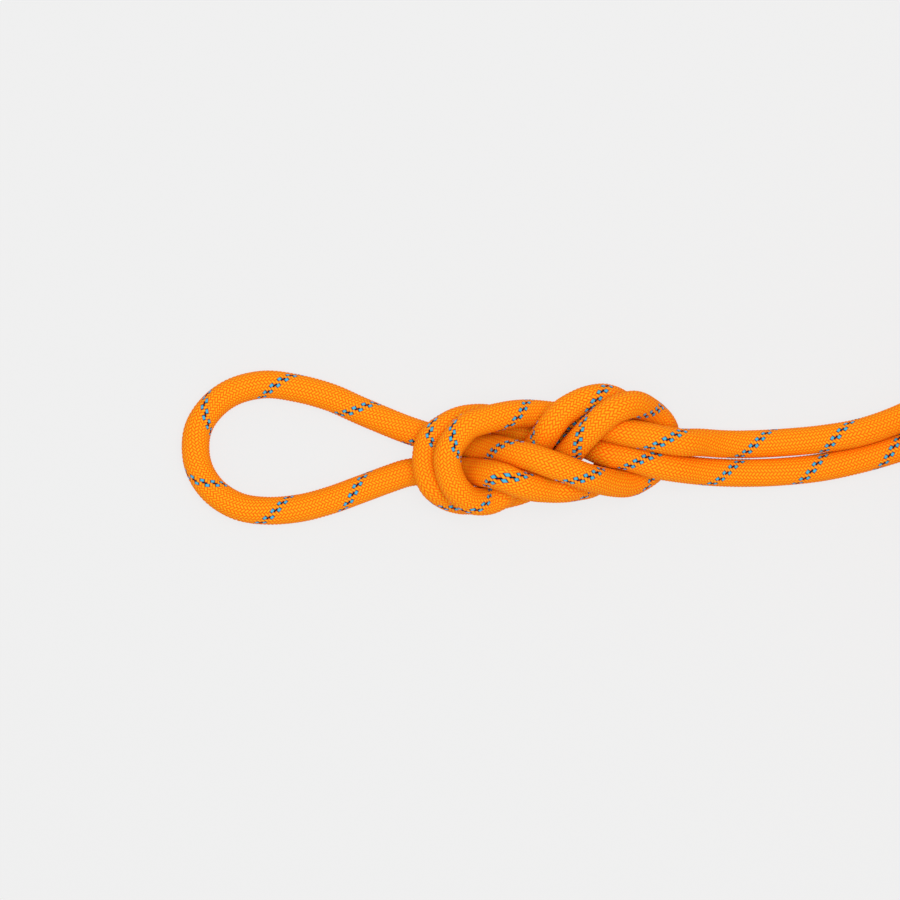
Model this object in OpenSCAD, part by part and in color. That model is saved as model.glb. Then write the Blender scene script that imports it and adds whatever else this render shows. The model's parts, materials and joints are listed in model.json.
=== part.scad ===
// Dynamic climbing rope with a figure-eight on a bight tied at one end and the rest put away as a tied hank.
// Every height is measured from the surface that the rope lies on.

/* [Rope] */
// Diameter of the rope over its sheath
rope_d = 9.4; // [9.2:0.1:9.6]
// Thickness of the braided sheath
sheath_t = 1.1; // [0.8:0.1:1.4]
// Room between the sheath and the core strands
core_gap = 0.05; // [0.02:0.01:0.15]

/* [Hank] */
// Straight length of the hank's runs, between its two folds
run_l = 182; // [140:1:230]
// Radius of the innermost fold
fold_r = 28.2; // [28:0.1:34]
// Turns side by side in a layer
columns = 3; // [3:1:4]
// Layers of turns
layers = 11; // [7:1:12]
// Step between turns side by side
column_step = 10.7; // [10.6:0.1:12]
// Step between layers
layer_step = 9.95; // [9.9:0.05:10.6]
// How far the tie draws each side in at the waist
waist_in = 22; // [12:0.5:22]
// Room between the wound turns and the plain core of the hank
core_room = 0.9; // [0.7:0.1:1.5]

/* [Tie] */
// Width of the strap that ties the hank
tie_w = 20; // [14:1:30]
// Thickness of the strap
tie_t = 1.5; // [1:0.1:2]
// Length of the strap's end where it laps over itself
tie_lap = 42; // [25:1:50]
// Room between the strap and the turns, and under the strap
tie_gap = 0.3; // [0.1:0.05:0.4]

/* [Ends] */
// Length of the band round each end of the rope
band_l = 24; // [15:1:26]
// Thickness of the end band
band_t = 0.25; // [0.2:0.05:0.3]
// Room between the end band and the sheath
band_gap = 0.05; // [0.02:0.01:0.1]
// Thickness of the melted seal on each end
seal_t = 2.4; // [1.5:0.1:4]

/* [Hidden] */

rope_r = rope_d / 2;
// A rope on the ground presses flat by a tenth of its diameter under the hank
flat_z = rope_d * 0.4;

// Route of the knotted end, by hand: x, y and height of the rope's centre, from the tail's cut end
// through the knot, round the clip-in loop, back through the knot and out to the hank.
// The first and the last point only give the direction there.
TAIL = [
    [187.5, 53.5, 5], [179.5, 43, 5], [171.5, 32.5, 5], [163.5, 21.5, 5], [157, 14.3, 6.2],
    [148.5, 9.8, 7.8], [136.5, 5.8, 8.8], [123.5, 3.6, 6.5], [110, 2.4, 4.7], [98.5, 1.9, 4.8],
    [90.5, 2, 7], [84, 2.5, 11], [77.5, 2.5, 16.1], [71.5, 3.3, 18.5], [65.5, 4.6, 19.6], [58, 6.05, 19.8],
    [52, 7.6, 17.8]
];
KNOT_IN = [
    [46, 9.05, 15], [39, 10.8, 12.5], [32.5, 11.7, 12.2], [25.5, 12.2, 14.8], [19, 11.6, 19],
    [12.5, 10.2, 22], [6.5, 8.2, 24], [2.5, 4.5, 24.5], [-0.5, -0.5, 24.5], [-0.5, -6.5, 23.5],
    [2, -12.5, 22], [6.5, -16.5, 18.5], [12.5, -17, 15], [17.5, -14.5, 14.5], [21, -9.5, 13.5],
    [24, -5, 11], [27, -1, 12.5], [30.5, 3.3, 17.7], [33.5, 7.8, 21.9], [37, 12, 22.7], [41.5, 14.9, 22.2],
    [46.5, 16.9, 20.8], [52, 17.4, 16.8], [57.3, 14.8, 9.2], [60, 8.5, 4.7], [59.3, 1.8, 4.7],
    [55.2, -3.3, 4.7], [51.2, -7.8, 4.8], [47.2, -11.1, 7.6], [42.5, -12.2, 13.2], [37.5, -12.9, 17.9],
    [32.5, -12.9, 20], [27.5, -12.4, 22.9], [22.5, -11.1, 25], [17.5, -9, 25], [12.5, -7.8, 20],
    [8, -7.4, 13.5], [2, -6.9, 8.3], [-5.5, -7, 5], [-13.5, -7.5, 4.7]
];
CLIP_LOOP = [
    [-20, -9.5, 4.7], [-30, -13.2, 4.7], [-40, -16.8, 4.7], [-50, -19.4, 4.7], [-61, -20.3, 4.7],
    [-71, -18.7, 4.7], [-79.4, -13.2, 4.7], [-84.3, -4.7, 4.7], [-84.6, 5.5, 4.7], [-80.3, 13.5, 4.7],
    [-72.5, 19.4, 4.7], [-62, 21.9, 4.7], [-51, 20.6, 4.7], [-40, 17.6, 4.7], [-30, 13.2, 4.7],
    [-20, 9, 4.7]
];
KNOT_OUT = [
    [-13.5, 6.5, 4.7], [-5.5, 4, 4.7], [2, 2.5, 5.3], [8.5, 1.5, 8.4], [15, 0.5, 13.5], [21, -1, 20.5],
    [27, -2.5, 25], [33, -4.5, 27], [39.5, -6.8, 26], [45.5, -9, 23], [50.5, -10.3, 18.4],
    [55, -11.1, 13.9], [59.5, -11, 9.3], [63.5, -9.3, 6.2], [68, -6, 4.7], [71.5, -1, 4.7],
    [72.2, 4.5, 4.9], [70.7, 8.8, 7.5], [66.5, 12.8, 12.5], [61.5, 15.1, 20.6], [55.5, 13.7, 26],
    [50, 10, 27], [44.5, 4.5, 24], [39.3, -1.5, 16.5], [35, -6.3, 9.4], [29.5, -10.5, 5.1],
    [23.5, -13.5, 4.7], [15.5, -15.5, 4.7], [7.5, -16.9, 6.5], [0.3, -16, 10.5], [-5.8, -11.6, 15],
    [-8, -4, 15.5], [-6.5, 3.3, 15], [-1.5, 7.6, 15], [4.5, 10.2, 13.5], [12.5, 10.6, 10.9], [19.5, 8, 6.6],
    [26.5, 5.6, 4.7], [34, 4.5, 4.7], [41, 3.4, 5.9], [46.5, 1.4, 9]
];
LINE = [
    [52, -1, 13.6], [57.5, -1.9, 14.5], [63.5, -3.5, 14.8], [68.5, -4.9, 14.7], [74.5, -6, 12.8],
    [82, -6.9, 8.5], [90, -7.5, 5.5], [98.5, -7.7, 4.7], [110, -7.3, 4.7], [123.5, -5.9, 4.7],
    [136.5, -3.2, 4.7], [148.5, 0.2, 4.7], [157, 3.2, 4.5], [165, 7.5, 4], [171.5, 12, flat_z],
    [177, 17.5, flat_z], [181, 28.5, flat_z]
];
ROUTE = concat(TAIL, KNOT_IN, CLIP_LOOP, KNOT_OUT, LINE);

function unit(v) = v / norm(v);

// One stretch of the smooth curve through the route's points, from b to c
function between(a, b, c, d, t) =
    0.5 * (2 * b + (c - a) * t + (2 * a - 5 * b + 4 * c - d) * t * t + (3 * b - a - 3 * c + d) * t * t * t);

// Rings stand closer where the route bends
ring_turn = 27;
function turn_at(i) = acos(min(1, unit(ROUTE[i + 1] - ROUTE[i - 1]) * unit(ROUTE[i + 2] - ROUTE[i])));
function rings_at(i) = max(1, ceil(turn_at(i) / ring_turn));
function sampled(steps) = concat(
    [for (i = [1 : len(ROUTE) - 3], k = [0 : steps[i] - 1])
        between(ROUTE[i - 1], ROUTE[i], ROUTE[i + 1], ROUTE[i + 2], k / steps[i])],
    [ROUTE[len(ROUTE) - 2]]);
free_line = sampled([for (i = [0 : len(ROUTE) - 3]) i == 0 ? 1 : rings_at(i)]);
fine_line = sampled([for (i = [0 : len(ROUTE) - 3]) 3]);

// The hank starts where the free rope ends, one diameter before its left fold
join = ROUTE[len(ROUTE) - 2];
join_turn = 60;
outer_r = fold_r + (columns - 1) * column_step;
fold_meet = join + rope_d * [cos(join_turn), sin(join_turn), 0];
left_fold = fold_meet - outer_r * [cos(join_turn + 90), sin(join_turn + 90), 0];
waist_half = tie_w / 2 + 1;
waist_lift = 2 * tie_gap + tie_t + rope_r - flat_z + 0.2;

// Shares of one turn: a run along +y, the right fold, a run along -y, the left fold
run_share = 0.3;
fold_share = 0.2;
function pinch(u) = (1 - cos(180 * min(1, min(u, 1 - u) * run_l / (run_l / 2 - waist_half)))) / 2;
function in_plan(phase, r) =
    phase < run_share ?
        let (u = phase / run_share) [run_l * u, r - waist_in * pinch(u)]
    : phase < 0.5 ?
        let (a = 90 - 180 * (phase - run_share) / fold_share) [run_l + r * cos(a), r * sin(a)]
    : phase < 0.5 + run_share ?
        let (u = (phase - 0.5) / run_share) [run_l * (1 - u), waist_in * pinch(u) - r]
    :
        let (a = 270 - 180 * (phase - 0.5 - run_share) / fold_share) [r * cos(a), r * sin(a)];
function lift_at(phase) =
    let (half = phase < 0.5 ? phase : phase - 0.5)
    half < run_share ? waist_lift * pinch(half / run_share) : 0;

// The outermost turn climbs a layer on each run along -y, then the top layer steps in on its right folds
climb_at = 0.5;
step_at = run_share;
top = layers - 1;
inner = columns - 1;
function ease(x) = let (s = max(0, min(1, x))) s * s * (3 - 2 * s);
function sum(list, i = 0) = i < len(list) ? list[i] + sum(list, i + 1) : 0;
function layer_of(t) = sum([for (i = [0 : top - 1]) ease((t - i - climb_at) / run_share)]);
function inset_of(t) = sum([for (i = [0 : inner - 1]) ease((t - top - i - step_at) / fold_share)]);
function wound(t) =
    let (
        phase = t - floor(t),
        p = in_plan(phase, outer_r - column_step * inset_of(t)),
        z = flat_z + layer_step * layer_of(t) + lift_at(phase)
    )
    [left_fold[0] + p[0], left_fold[1] + p[1], z];

// A turn has 24 rings: 7 on each run and 5 on each fold
run_edge = 0.5 - waist_half / run_l;
RUN_STOPS = [0, run_edge / 3, run_edge * 2 / 3, run_edge, 1 - run_edge, 1 - run_edge * 2 / 3, 1 - run_edge / 3];
FOLD_STOPS = [0, 0.2, 0.4, 0.6, 0.8];
HALF_STOPS = concat([for (u = RUN_STOPS) run_share * u], [for (v = FOLD_STOPS) run_share + fold_share * v]);
TURN_STOPS = concat(HALF_STOPS, [for (h = HALF_STOPS) 0.5 + h]);
start_t = -fold_share * join_turn / 180;
last_turn = top + inner;
band_mid = 1 - (run_l / 2 - waist_half) / 2 / run_l;
end_t = last_turn + run_share * (band_mid - band_l / 2 / run_l);
stops = [for (n = [-1 : last_turn], s = TURN_STOPS) if (n + s > start_t + 0.01 && n + s < end_t - 0.02) n + s];
end_way = unit(wound(last_turn + run_share * (band_mid + 0.05)) - wound(last_turn + run_share * (band_mid - 0.05)));
end_base = wound(end_t);
end_tip = end_base + band_l * end_way;
hank_line = concat([join, fold_meet], [for (t = stops) wound(t)], [end_base, end_tip]);

// Least gap between stretches of a line that are more than `apart` rings apart along it
function least_gap(line, apart) =
    min([for (i = [0 : len(line) - 1]) let (far = [for (j = [i + apart : 1 : len(line) - 1]) norm(line[i] - line[j])])
        len(far) > 0 ? min(far) : 1000]) - rope_d;
function length_of(line) = len(line) < 2 ? 0 :
    [for (i = 1, s = norm(line[1] - line[0]); i < len(line); i = i + 1,
        s = s + (i < len(line) ? norm(line[i] - line[i - 1]) : 0)) s][len(line) - 2];
echo(free_length = length_of(fine_line), knot_least_gap = least_gap(fine_line, 11));
echo(hank_least_gap = least_gap(hank_line, 12), turns = end_t - start_t);
echo(rings = [len(free_line), len(hank_line)]);

// The part's origin is under the middle of its box
x_low = min([for (p = free_line) p[0]]) - rope_r;
x_high = max([for (p = hank_line) p[0]]) + rope_r;
origin = [(x_low + x_high) / 2, left_fold[1], 0];
echo(origin = origin);

// Tubes. A ring's first direction is level, its second is up and square to the rope.
function way_at(line, i, ends) =
    i == 0 ? unit(ends[0]) : i == len(line) - 1 ? unit(ends[1]) :
    unit(unit(line[i + 1] - line[i]) + unit(line[i] - line[i - 1]));
function level(way) = unit(cross(way, [0, 0, 1]));
function ring(centre, way, r, sides, shift, at, height) =
    let (across = level(way), up = cross(across, way), c = centre + at[0] * across + at[1] * up - origin)
    [for (j = [0 : sides - 1]) let (a = 360 * (j + shift) / sides, p = c + r * (cos(a) * across + sin(a) * up))
        [p[0], p[1], max(height, p[2])]];
function rings_of(line, ends, r, sides, shift, at = [0, 0]) =
    [for (i = [0 : len(line) - 1]) each ring(line[i], way_at(line, i, ends), r, sides, shift, at, 0)];
// Faces of the wall between rings, seen from outside, or from inside for a bore
function wall(rings, sides, first, bore) = [for (i = [0 : rings - 2], j = [0 : sides - 1])
    let (k = (j + 1) % sides, a = first + i * sides + j, b = first + i * sides + k, c = a + sides, d = b + sides)
    each bore ? [[a, b, d], [a, d, c]] : [[b, a, d], [d, a, c]]];
function cap(sides, first, start) = [for (j = [1 : sides - 2])
    start ? [first, first + j, first + j + 1] : [first + j + 1, first + j, first]];
function rim(sides, outer, bore, start) = [for (j = [0 : sides - 1])
    let (k = (j + 1) % sides)
    each start ? [[outer + j, outer + k, bore + k], [outer + j, bore + k, bore + j]]
        : [[outer + k, outer + j, bore + k], [bore + k, outer + j, bore + j]]];

module solid_tube(line, ends, r, sides, shift, at = [0, 0]) {
    n = len(line);
    polyhedron(
        points = rings_of(line, ends, r, sides, shift, at),
        faces = concat(wall(n, sides, 0, false), cap(sides, 0, true), cap(sides, (n - 1) * sides, false)),
        convexity = 10);
}

module hollow_tube(line, ends, outer_wall_r, bore_r, sides, shift) {
    n = len(line);
    bore = n * sides;
    polyhedron(
        points = concat(
            rings_of(line, ends, outer_wall_r, sides, shift),
            rings_of(line, ends, bore_r, sides, shift)),
        faces = concat(
            wall(n, sides, 0, false), wall(n, sides, bore, true),
            rim(sides, 0, bore, true), rim(sides, (n - 1) * sides, bore + (n - 1) * sides, false)),
        convexity = 10);
}

// Free rope: the sheath and the strands that it holds
sheath_sides = 8;
bore_r = rope_r - sheath_t;
free_ends = [ROUTE[2] - ROUTE[1], [cos(join_turn), sin(join_turn), 0]];
strand_r = (bore_r * cos(180 / sheath_sides) - core_gap) / 3;

module sheath_tube() {
    color([1, 0.55, 0.08])
        hollow_tube(free_line, free_ends, rope_r, bore_r, sheath_sides, 0.5);
}

// Strand 1 runs down the middle and the other six lie round it
module core_strand(number) {
    a = 60 * (number - 2);
    at = number == 1 ? [0, 0] : 2 * strand_r * [cos(a), sin(a)];
    color([0.96, 0.95, 0.9])
        solid_tube(free_line, free_ends, strand_r, 4, 0.5, at);
}

// Ends of the rope: a thin band over the sheath and a melted seal
module facing(at, way) {
    translate(at - origin)
        rotate([0, acos(way[2]), atan2(way[1], way[0])])
            children();
}

module end_band() {
    color([0.1, 0.1, 0.1])
        translate([0, 0, -band_l])
            difference() {
                cylinder(h = band_l, r = rope_r + band_gap + band_t, $fn = 64);
                translate([0, 0, -1])
                    cylinder(h = band_l + 2, r = rope_r + band_gap, $fn = 64);
            }
}

module end_seal() {
    color([0.75, 0.35, 0.1])
        rotate_extrude($fn = 64)
            polygon([[0, 0], [rope_r, 0], [rope_r, seal_t * 0.4], [rope_r * 0.92, seal_t * 0.7],
                [rope_r * 0.7, seal_t * 0.92], [0, seal_t]]);
}

tail_tip = ROUTE[1];
tail_way = unit(ROUTE[1] - ROUTE[2]);
module tail_end_band() facing(tail_tip, tail_way) end_band();
module tail_end_seal() facing(tail_tip, tail_way) end_seal();
module hank_end_band() facing(end_tip, end_way) end_band();
module hank_end_seal() facing(end_tip, end_way) end_seal();

// Hank: the turns that show, over a plain core that fills the inner columns
module hank_turns() {
    color([1, 0.5, 0.06])
        solid_tube(hank_line, [[cos(join_turn), sin(join_turn), 0], end_way], rope_r, 6, 0);
}

module outline(r) {
    polygon([for (s = TURN_STOPS) let (p = in_plan(s, r)) [left_fold[0] + p[0], left_fold[1] + p[1]]]);
}

module hank_core() {
    core_top = flat_z + top * layer_step - rope_r - tie_gap;
    mid = left_fold[0] + run_l / 2;
    color([0.95, 0.42, 0.05])
        translate(-origin)
            difference() {
                linear_extrude(core_top)
                    difference() {
                        outline(outer_r - rope_r - core_room);
                        outline(fold_r - rope_r);
                    }
                translate([mid - waist_half - 1, left_fold[1] - outer_r, -1])
                    cube([2 * waist_half + 2, 2 * outer_r, 1 + tie_gap + tie_t + tie_gap]);
            }
}

// Strap round the waist of the hank, lapped over itself on top
module rounded(w, h, r) {
    translate([r, 0])
        square([w - 2 * r, h]);
    translate([0, r])
        square([w, h - 2 * r]);
    for (x = [r, w - r], y = [r, h - r])
        translate([x, y])
            circle(r = r, $fn = 48);
}

module hank_tie() {
    inside_w = 2 * (outer_r - waist_in + rope_r + tie_gap);
    inside_h = flat_z + waist_lift + top * layer_step + rope_r + tie_gap - (tie_gap + tie_t);
    corner = rope_r + tie_gap;
    color([0.16, 0.17, 0.2])
        translate([left_fold[0] + (run_l - tie_w) / 2, left_fold[1], tie_gap] - origin)
            rotate([90, 0, 90]) {
                linear_extrude(tie_w)
                    difference() {
                        translate([-inside_w / 2 - tie_t, 0])
                            rounded(inside_w + 2 * tie_t, inside_h + 2 * tie_t, corner + tie_t);
                        translate([-inside_w / 2, tie_t])
                            rounded(inside_w, inside_h, corner);
                    }
                translate([inside_w / 2 - corner - tie_lap, inside_h + 2 * tie_t, 0])
                    cube([tie_lap, tie_t, tie_w]);
            }
}

sheath_tube();
core_strand(1);  // core_strand_1
core_strand(2);  // core_strand_2
core_strand(3);  // core_strand_3
core_strand(4);  // core_strand_4
core_strand(5);  // core_strand_5
core_strand(6);  // core_strand_6
core_strand(7);  // core_strand_7
tail_end_band();
tail_end_seal();
hank_turns();
hank_core();
hank_end_band();
hank_end_seal();
hank_tie();
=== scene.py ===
# A dynamic climbing rope: a figure-eight on a bight at one end, the rest put away as a tied hank.
import json
import math

import bpy
import numpy as np
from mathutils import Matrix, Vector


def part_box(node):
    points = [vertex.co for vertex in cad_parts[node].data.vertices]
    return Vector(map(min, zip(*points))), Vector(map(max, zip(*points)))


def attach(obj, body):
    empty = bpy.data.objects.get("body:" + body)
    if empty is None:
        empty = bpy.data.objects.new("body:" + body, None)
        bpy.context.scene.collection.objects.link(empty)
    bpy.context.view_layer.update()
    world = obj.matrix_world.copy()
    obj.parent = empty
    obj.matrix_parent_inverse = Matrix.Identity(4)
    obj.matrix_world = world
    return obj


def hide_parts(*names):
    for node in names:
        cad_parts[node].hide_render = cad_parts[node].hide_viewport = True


bl_info = {
    "name": "Climbing Rope",
    "version": (1, 0, 0),
    "blender": (4, 5, 0),
    "location": "View3D > Sidebar > Rope",
    "description": "Makes a braided climbing rope with a figure-eight on a bight and a tied hank",
    "category": "Object",
}

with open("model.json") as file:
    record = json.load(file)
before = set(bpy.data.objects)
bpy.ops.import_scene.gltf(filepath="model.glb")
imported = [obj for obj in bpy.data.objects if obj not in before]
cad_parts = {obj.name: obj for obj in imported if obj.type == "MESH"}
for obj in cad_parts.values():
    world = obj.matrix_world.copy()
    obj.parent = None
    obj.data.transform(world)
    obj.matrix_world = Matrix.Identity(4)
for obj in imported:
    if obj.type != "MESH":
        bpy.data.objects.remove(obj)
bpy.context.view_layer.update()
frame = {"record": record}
RECORD_COLOURS = {m["slot"]: tuple(m["base_color"]) for m in frame["record"]["materials"]}

MILLIMETRE = 0.001
FULL_TURN = 2 * math.pi

# Route of the knotted end, in millimetres: x, y and height of the rope's centre, from the
# tail's cut end through the knot, round the clip-in loop, back through the knot and out to the hank.
# The first and the last point only give the direction there.
FLAT_Z = 3.76
TAIL = [
    (187.5, 53.5, 5), (179.5, 43, 5), (171.5, 32.5, 5), (163.5, 21.5, 5), (157, 14.3, 6.2),
    (148.5, 9.8, 7.8), (136.5, 5.8, 8.8), (123.5, 3.6, 6.5), (110, 2.4, 4.7), (98.5, 1.9, 4.8),
    (90.5, 2, 7), (84, 2.5, 11), (77.5, 2.5, 16.1), (71.5, 3.3, 18.5), (65.5, 4.6, 19.6), (58, 6.05, 19.8),
    (52, 7.6, 17.8),
]
KNOT_IN = [
    (46, 9.05, 15), (39, 10.8, 12.5), (32.5, 11.7, 12.2), (25.5, 12.2, 14.8), (19, 11.6, 19),
    (12.5, 10.2, 22), (6.5, 8.2, 24), (2.5, 4.5, 24.5), (-0.5, -0.5, 24.5), (-0.5, -6.5, 23.5),
    (2, -12.5, 22), (6.5, -16.5, 18.5), (12.5, -17, 15), (17.5, -14.5, 14.5), (21, -9.5, 13.5),
    (24, -5, 11), (27, -1, 12.5), (30.5, 3.3, 17.7), (33.5, 7.8, 21.9), (37, 12, 22.7), (41.5, 14.9, 22.2),
    (46.5, 16.9, 20.8), (52, 17.4, 16.8), (57.3, 14.8, 9.2), (60, 8.5, 4.7), (59.3, 1.8, 4.7),
    (55.2, -3.3, 4.7), (51.2, -7.8, 4.8), (47.2, -11.1, 7.6), (42.5, -12.2, 13.2), (37.5, -12.9, 17.9),
    (32.5, -12.9, 20), (27.5, -12.4, 22.9), (22.5, -11.1, 25), (17.5, -9, 25), (12.5, -7.8, 20),
    (8, -7.4, 13.5), (2, -6.9, 8.3), (-5.5, -7, 5), (-13.5, -7.5, 4.7),
]
CLIP_LOOP = [
    (-20, -9.5, 4.7), (-30, -13.2, 4.7), (-40, -16.8, 4.7), (-50, -19.4, 4.7), (-61, -20.3, 4.7),
    (-71, -18.7, 4.7), (-79.4, -13.2, 4.7), (-84.3, -4.7, 4.7), (-84.6, 5.5, 4.7), (-80.3, 13.5, 4.7),
    (-72.5, 19.4, 4.7), (-62, 21.9, 4.7), (-51, 20.6, 4.7), (-40, 17.6, 4.7), (-30, 13.2, 4.7),
    (-20, 9, 4.7),
]
KNOT_OUT = [
    (-13.5, 6.5, 4.7), (-5.5, 4, 4.7), (2, 2.5, 5.3), (8.5, 1.5, 8.4), (15, 0.5, 13.5), (21, -1, 20.5),
    (27, -2.5, 25), (33, -4.5, 27), (39.5, -6.8, 26), (45.5, -9, 23), (50.5, -10.3, 18.4),
    (55, -11.1, 13.9), (59.5, -11, 9.3), (63.5, -9.3, 6.2), (68, -6, 4.7), (71.5, -1, 4.7),
    (72.2, 4.5, 4.9), (70.7, 8.8, 7.5), (66.5, 12.8, 12.5), (61.5, 15.1, 20.6), (55.5, 13.7, 26),
    (50, 10, 27), (44.5, 4.5, 24), (39.3, -1.5, 16.5), (35, -6.3, 9.4), (29.5, -10.5, 5.1),
    (23.5, -13.5, 4.7), (15.5, -15.5, 4.7), (7.5, -16.9, 6.5), (0.3, -16, 10.5), (-5.8, -11.6, 15),
    (-8, -4, 15.5), (-6.5, 3.3, 15), (-1.5, 7.6, 15), (4.5, 10.2, 13.5), (12.5, 10.6, 10.9), (19.5, 8, 6.6),
    (26.5, 5.6, 4.7), (34, 4.5, 4.7), (41, 3.4, 5.9), (46.5, 1.4, 9),
]
LINE = [
    (52, -1, 13.6), (57.5, -1.9, 14.5), (63.5, -3.5, 14.8), (68.5, -4.9, 14.7), (74.5, -6, 12.8),
    (82, -6.9, 8.5), (90, -7.5, 5.5), (98.5, -7.7, 4.7), (110, -7.3, 4.7), (123.5, -5.9, 4.7),
    (136.5, -3.2, 4.7), (148.5, 0.2, 4.7), (157, 3.2, 4.5), (165, 7.5, 4), (171.5, 12, FLAT_Z),
    (177, 17.5, FLAT_Z), (181, 28.5, FLAT_Z),
]
ROUTE = TAIL + KNOT_IN + CLIP_LOOP + KNOT_OUT + LINE

# How far the braid is rolled round the rope: millimetres from the tail's cut end, then turns.
ROLL = [
    (0, -0.03), (67, -0.05), (95, -0.02), (130, -0.25), (184, -0.095), (208, 0.08), (234, 0.10),
    (271, 0.0), (292, 0.09), (350, 0.295), (380, 0.135), (438, 0.045), (466, 0.11), (491, 0.21),
    (517, 0.38), (543, 0.445), (571, 0.44), (590, 0.58), (604, 0.62), (628, 0.485), (656, 0.47),
    (682, 0.36), (721, 0.29), (747, 0.305), (790, -0.40), (810, -0.74), (834, -0.655), (880, -0.44),
    (912, -0.40), (941, -0.47), (971, -0.505), (999, -0.43), (1035, -0.43),
]

# The tracer's fuller yarns: distances from its middle in yarns, in an even braid and in this one.
FULLER = [(0, 0), (0.5, 0.28), (1.5, 1.58), (2.5, 2.5)]


# ---- settings

def length_property(name, description, default, low, high, precision=4):
    return bpy.props.FloatProperty(
        name=name, description=description, default=default, min=low, max=high, unit="LENGTH",
        precision=precision)


def number_property(name, description, default, low, high):
    return bpy.props.IntProperty(name=name, description=description, default=default, min=low, max=high)


def level_property(name, description, default, high=1.0):
    return bpy.props.FloatProperty(
        name=name, description=description, default=default, min=0, max=high, subtype="FACTOR")


def colour_property(name, description, default):
    return bpy.props.FloatVectorProperty(
        name=name, description=description, default=default, min=0, max=1, subtype="COLOR")


class RopeSizes(bpy.types.PropertyGroup):
    """Sizes of the rope and its braid"""

    diameter: length_property("Diameter", "Diameter of the rope over its sheath", 0.0094, 0.0085, 0.011)
    sheath: length_property("Sheath", "Thickness of the braided sheath", 0.0011, 0.0008, 0.0014)
    core_gap: length_property(
        "Core Gap", "Room between the sheath and the core strands", 0.00005, 0.0, 0.0002, 5)
    carriers: number_property("Carriers", "Sheath yarns that wind each way", 24, 12, 32)
    pitch: length_property(
        "Pitch", "Length of rope in which a sheath yarn goes round once", 0.0288, 0.02, 0.05)
    relief: length_property("Relief", "Depth of the grooves between sheath yarns", 0.0002, 0.0, 0.0004, 5)
    ply_length: length_property(
        "Ply Length", "Length of a core strand in which its plies go round once", 0.014, 0.008, 0.03)


class HankSizes(bpy.types.PropertyGroup):
    """Sizes of the hank"""

    run: length_property("Run", "Straight length between the two folds", 0.182, 0.14, 0.23)
    fold: length_property("Fold", "Radius of the innermost fold", 0.0282, 0.028, 0.034)
    columns: number_property("Columns", "Turns side by side, an odd number", 3, 1, 5)
    layers: number_property("Layers", "Layers of turns", 11, 2, 12)
    column_step: length_property("Column Step", "Step between turns side by side", 0.0107, 0.0095, 0.012)
    layer_step: length_property("Layer Step", "Step between layers", 0.00995, 0.0094, 0.0106, 5)
    waist_in: length_property("Waist", "How far the tie draws each side in", 0.022, 0.012, 0.022)
    band: length_property(
        "End Band", "Length of the band round each end of the rope", 0.024, 0.015, 0.026)


class RopeColours(bpy.types.PropertyGroup):
    """Colours of the rope, its ends and its tie"""

    # The crest colour is lighter than the groove colour: a painted highlight on the yarn tops and painted
    # shade down between the yarns, mixed by the braid's height.
    crest: colour_property("Yarn Crest", "Colour on top of a sheath yarn", (1.0, 0.455, 0.01))
    groove_shade: colour_property("Yarn Groove", "Colour down between the sheath yarns", (1.0, 0.1, 0.0))
    tracer: colour_property("Tracer", "Colour of the two tracer yarns", (0.07, 0.48, 0.75))
    # The tracer dark is the colour of the dark yarn between the two blue ones, and painted shade at the
    # tips and sides of the blue floats.
    tracer_dark_and_shade: colour_property(
        "Tracer Dark", "Colour of the dark yarn between them and of their tips", (0.01, 0.015, 0.03))
    core: colour_property("Core", "Colour of the core strands", RECORD_COLOURS["core_yarn"])
    band: colour_property("End Band", "Colour of the film round each end", RECORD_COLOURS["end_band"])
    seal: colour_property("End Seal", "Colour of the melted ends", RECORD_COLOURS["end_seal"])
    tie: colour_property("Tie", "Colour of the strap round the hank", RECORD_COLOURS["tie_strap"])
    thread: colour_property("Thread", "Colour of the strap's stitches", (0.55, 0.56, 0.58))


class StageSettings(bpy.types.PropertyGroup):
    """Camera, light and floor"""

    view_width: length_property(
        "View Width", "Width of the view at the height of the rope", 0.3, 0.1, 2.0)
    camera_height: length_property("Camera Height", "Height of the camera over the floor", 3.0, 0.5, 10.0)
    backdrop: level_property(
        "Backdrop", "Brightness of the floor and the backdrop as the camera sees them", 0.871)
    floor_shade: level_property("Floor Shade", "How much of the object's shadow the floor shows", 0.1)
    sky: level_property("Sky", "Level of the even light from all round", 0.62, 2.0)
    overhead: bpy.props.FloatProperty(
        name="Overhead Lamp", description="Power of the soft lamp overhead, in watts",
        default=13.5, min=0, max=500)


# ---- lines

class Line:
    """A smooth line given by close points, in metres"""

    def __init__(self, points):
        self.points = np.asarray(points, float)
        steps = np.linalg.norm(np.diff(self.points, axis=0), axis=1)
        self.along = np.concatenate([[0.0], np.cumsum(steps)])
        self.length = float(self.along[-1])

    def place(self, s):
        """The point s metres along."""
        return np.stack([np.interp(s, self.along, self.points[:, k]) for k in range(3)], axis=-1)

    def way(self, s, reach=0.0008):
        """The direction s metres along, taken over a reach both ways."""
        ahead = self.place(np.minimum(s + reach, self.length))
        behind = self.place(np.maximum(s - reach, 0))
        return unit(ahead - behind)


def unit(v):
    return v / np.linalg.norm(v, axis=-1, keepdims=True)


def through(a, b, c, d, t):
    """The curve that part.scad's route follows from b to c."""
    t = t[:, None]
    second, third = 2 * a - 5 * b + 4 * c - d, 3 * b - a - 3 * c + d
    return 0.5 * (2 * b + (c - a) * t + second * t ** 2 + third * t ** 3)


def ease(x):
    """0 up to 0 and 1 from 1 on, with a smooth rise between."""
    x = np.clip(x, 0, 1)
    return x * x * (3 - 2 * x)


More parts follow.
